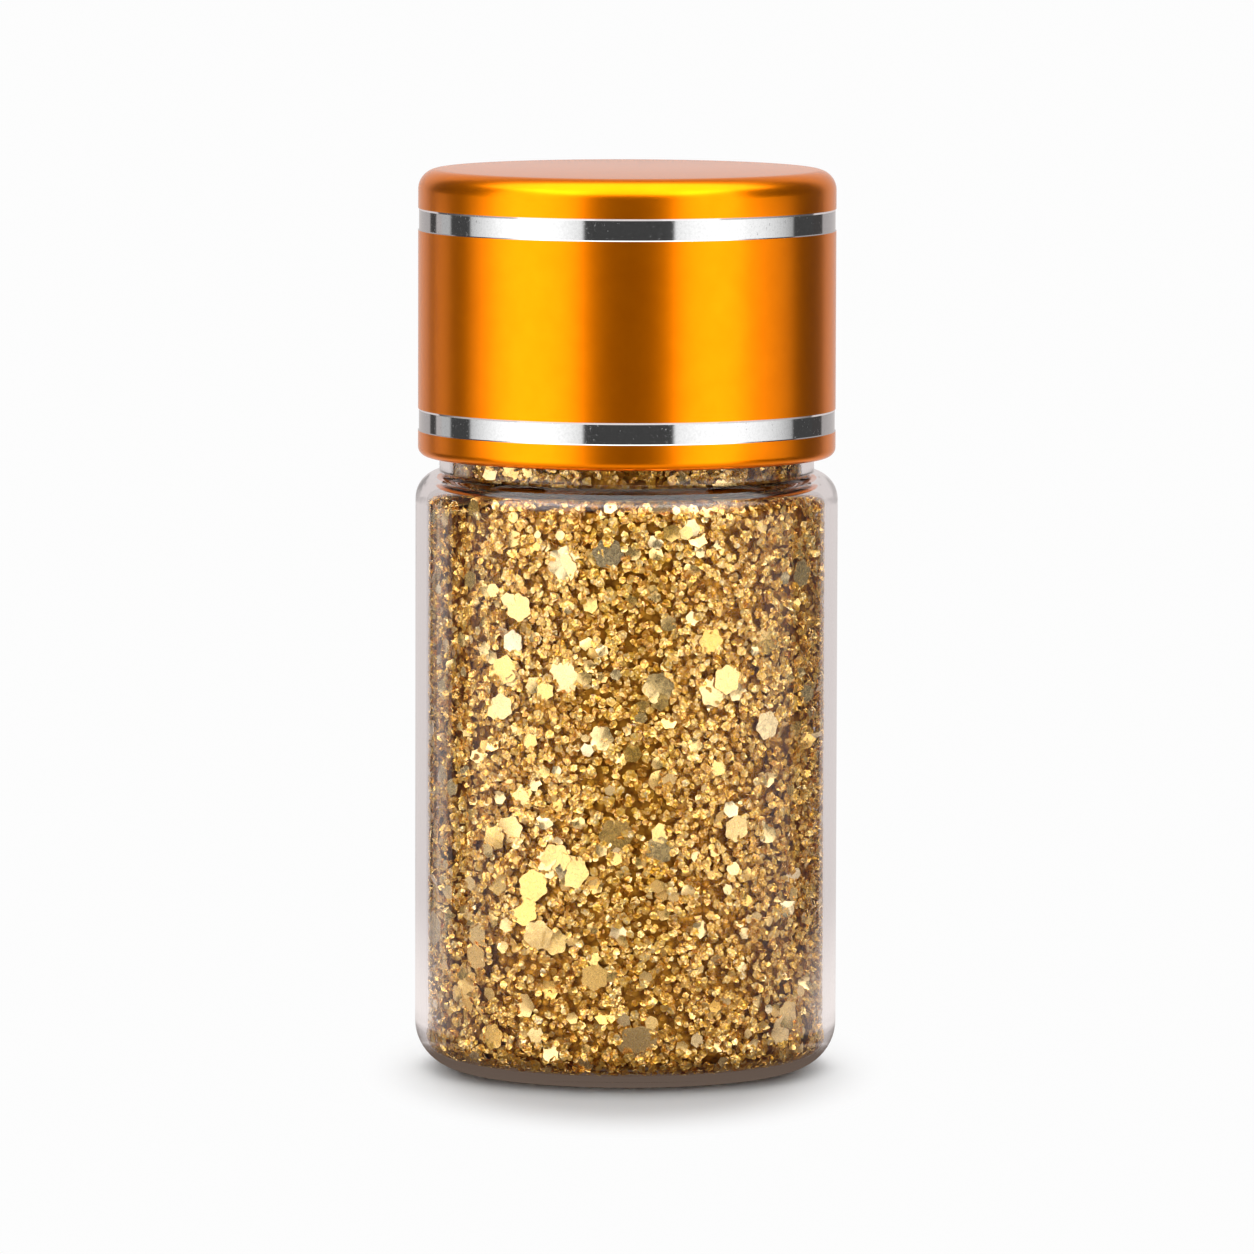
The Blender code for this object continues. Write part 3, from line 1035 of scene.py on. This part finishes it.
def mirrored_studio(tree, x, y, z):
    """The room and its panels, which glossy and clear surfaces show."""
    azimuth = maths(tree, "DEGREES", maths(tree, "ARCTAN2", x, maths(tree, "MULTIPLY", y, -1.0)))
    elevation = maths(tree, "DEGREES", maths(tree, "ARCSINE", z))
    total = maths(tree, "ADD", overhead_panel(tree, x, y, z), ROOM)
    upper = edge_up(tree, elevation, UPPER_FROM, PANEL_TOP_EDGE)
    total = maths(tree, "ADD", total, maths(tree, "MULTIPLY", upper, UPPER_ROOM))
    for panel in PANELS:
        total = maths(tree, "ADD", total, upright_panel(tree, azimuth, elevation, *panel))
    rear = edge_up(tree, maths(tree, "ABSOLUTE", azimuth), REAR_FROM, PANEL_EDGE)
    lit = node(tree, "ShaderNodeBackground")
    tree.links.new(mixed(tree, rear, WHITE, REAR_TINT), lit.inputs["Color"])
    tree.links.new(total, lit.inputs["Strength"])
    return lit


def studio_light():
    world = bpy.data.worlds.new("studio")
    bpy.context.scene.world = world
    world.use_nodes = True
    world.cycles.sampling_method = "NONE"
    tree = world.node_tree
    tree.nodes.clear()
    parts = tree.nodes.new("ShaderNodeSeparateXYZ")
    tree.links.new(tree.nodes.new("ShaderNodeTexCoord").outputs["Generated"], parts.inputs[0])
    x, y, z = (parts.outputs[axis] for axis in "XYZ")
    lit = mirrored_studio(tree, x, y, z)
    dome = node(tree, "ShaderNodeBackground", Color=WHITE)
    tree.links.new(dome_light(tree, y, z), dome.inputs["Strength"])
    plain = node(tree, "ShaderNodeBackground", Color=WHITE, Strength=BACKGROUND)
    path = tree.nodes.new("ShaderNodeLightPath")
    out = tree.nodes.new("ShaderNodeOutputWorld")
    matt = either(tree, path.outputs["Is Diffuse Ray"], lit, dome)
    seen = either(tree, path.outputs["Is Camera Ray"], matt, plain)
    tree.links.new(seen.outputs[0], out.inputs["Surface"])


FLOOR_COLOUR = (0.78, 0.78, 0.78, 1.0)
# Right beside the bottle, where hardly any light reaches it, the floor's colour is darker: a painted
# contact shadow.
CONTACT_SHADOW_COLOUR = (0.39, 0.39, 0.39, 1.0)
CONTACT_SHADOW_SQUEEZE = (1.0, 0.8, 1.0)
CONTACT_SHADOW_FADE = (6.0 * MM, 12.0 * MM)
# The floor blends into the background where the bottle's soft shadow ends. The shadow is longer
# from front to back than from side to side.
SHADOW_SQUEEZE = (1.0, 0.5, 1.0)
SHADOW_FADE = (8.5 * MM, 14.5 * MM)
# What the bottle and cap reflect of the floor is a glow: painted shade under the bottle, painted
# light further out.
UNDER_PAINTED_SHADE = (0.13, 0.095, 0.075, 1.0)
OUTER_PAINTED_LIGHT = (0.9, 0.84, 0.82, 1.0)
UNDER_FADE = (10.0 * MM, 30.0 * MM)
REFLECTED_FADE = (30.0 * MM, 90.0 * MM)


def distance_share(tree, vector, near, far):
    """0 up to the near distance from the axis, and 1 beyond the far one."""
    length = node(tree, "ShaderNodeVectorMath", operation="LENGTH")
    tree.links.new(vector, length.inputs[0])
    return edge_up(tree, length.outputs["Value"], (near + far) / 2, (far - near) / 2)


def floor_material():
    made, tree, shader = material("pale_floor")
    at = coordinates(tree)
    # A darker colour close to the bottle: painted contact shadow.
    near = distance_share(tree, stretched(tree, at, CONTACT_SHADOW_SQUEEZE), *CONTACT_SHADOW_FADE)
    tree.links.new(mixed(tree, near, CONTACT_SHADOW_COLOUR, FLOOR_COLOUR), shader.inputs["Base Color"])
    shader.inputs["Roughness"].default_value = 1.0
    shader.inputs["Specular IOR Level"].default_value = 0.0
    clear = tree.nodes.new("ShaderNodeBsdfTransparent")
    # The floor glows for rays that aren't the camera's: painted shade under the bottle, painted
    # light further out.
    glow = tree.nodes.new("ShaderNodeEmission")
    tone = mixed(tree, distance_share(tree, at, *UNDER_FADE), UNDER_PAINTED_SHADE, OUTER_PAINTED_LIGHT)
    tree.links.new(tone, glow.inputs["Color"])
    shadow_end = distance_share(tree, stretched(tree, at, SHADOW_SQUEEZE), *SHADOW_FADE)
    plain = node(tree, "ShaderNodeEmission", Color=WHITE, Strength=BACKGROUND)
    seen = either(tree, shadow_end, shader, plain)
    reflected = either(tree, distance_share(tree, at, *REFLECTED_FADE), glow, clear)
    path = tree.nodes.new("ShaderNodeLightPath")
    both = either(tree, path.outputs["Is Camera Ray"], reflected, seen)
    tree.links.new(both.outputs[0], tree.nodes["Material Output"].inputs["Surface"])
    return made


def floor():
    mesh = bpy.data.meshes.new("floor")
    angles = [math.tau * k / SEGMENTS for k in range(SEGMENTS)]
    rim = [(FLOOR_RADIUS * math.cos(a), FLOOR_RADIUS * math.sin(a), 0.0) for a in angles]
    mesh.from_pydata(rim, [], [tuple(range(SEGMENTS))])
    mesh.materials.append(floor_material())
    piece = bpy.data.objects.new("floor", mesh)
    bpy.context.scene.collection.objects.link(piece)


def camera():
    data = bpy.data.cameras.new("camera")
    data.lens = LENS_MM
    data.sensor_width = SENSOR_MM
    made = bpy.data.objects.new("camera", data)
    bpy.context.scene.collection.objects.link(made)
    away = Vector((0.0, -math.cos(VIEW_TILT), math.sin(VIEW_TILT))) * VIEW_DISTANCE
    turn = Matrix.Rotation(math.pi / 2 - VIEW_TILT, 4, "X") @ Matrix.Rotation(VIEW_ROLL, 4, "Z")
    target = Vector((VIEW_SIDE, 0.0, VIEW_HEIGHT))
    made.matrix_world = Matrix.Translation(target + away) @ turn
    bpy.context.scene.camera = made


def main():
    bpy.context.scene.view_settings.view_transform = "Standard"
    bpy.context.scene.cycles.max_bounces = LIGHT_BOUNCES
    bpy.context.scene.cycles.glossy_bounces = LIGHT_BOUNCES
    bpy.context.scene.cycles.transmission_bounces = LIGHT_BOUNCES
    camera()
    studio_light()
    floor()
    glass_piece()
    core_piece()
    glitter_pieces()
    shell_piece()
    inner_cap_piece()
    liner_piece()


main()
